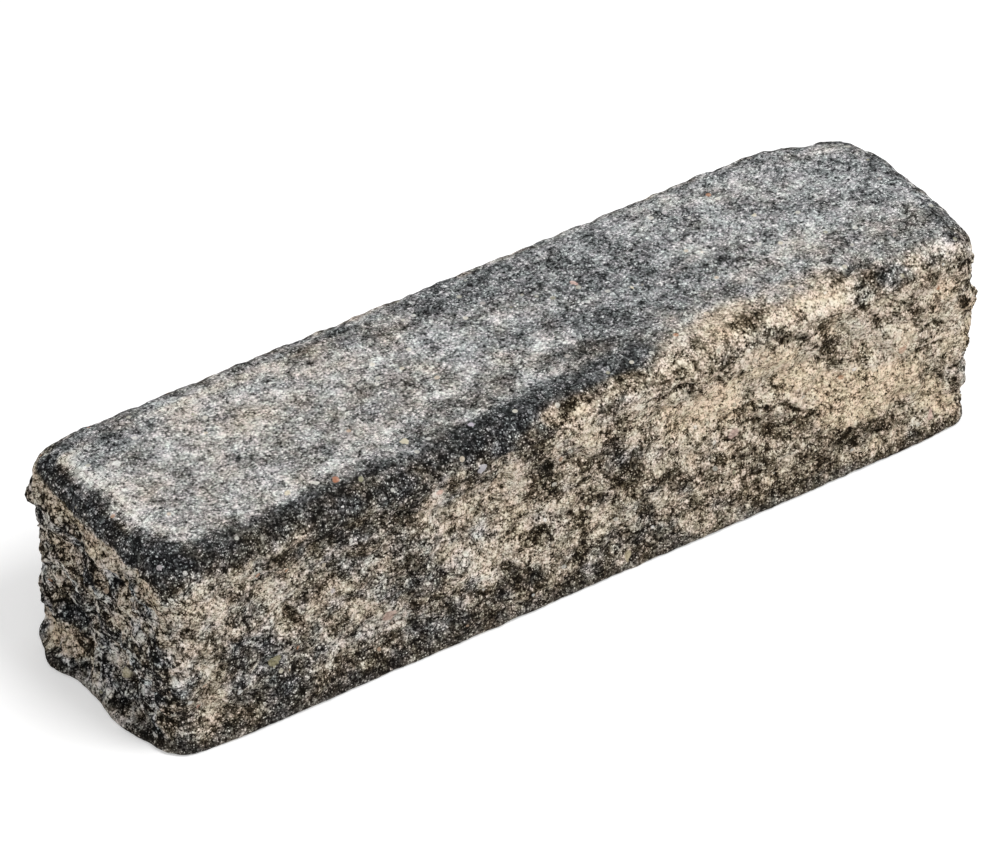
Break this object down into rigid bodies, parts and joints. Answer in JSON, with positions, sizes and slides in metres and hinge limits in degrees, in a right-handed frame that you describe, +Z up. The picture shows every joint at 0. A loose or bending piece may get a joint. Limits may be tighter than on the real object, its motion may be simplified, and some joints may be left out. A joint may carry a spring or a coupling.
{
  "type": "concrete palisade",
  "caption": "Solid concrete bar for edging, steps and low walls, with a smooth rounded top face and rock-faced sides and ends.",
  "frame": {"origin": "middle of the block's nominal 600 by 158 mm outline, on the plane that its flat underside lies on; the foot of the -X end stands out about 5 mm beyond that outline", "axes": "+X along the length, +Y across the width, +Z up through the smooth top face"},
  "size_m": [0.6054, 0.158, 0.146],
  "materials": {
    "concrete": "mottled grey concrete, smooth on top and rough where it is split"
  },
  "bodies": {
    "root": {"palisade": "concrete"}
  },
  "joints": []
}
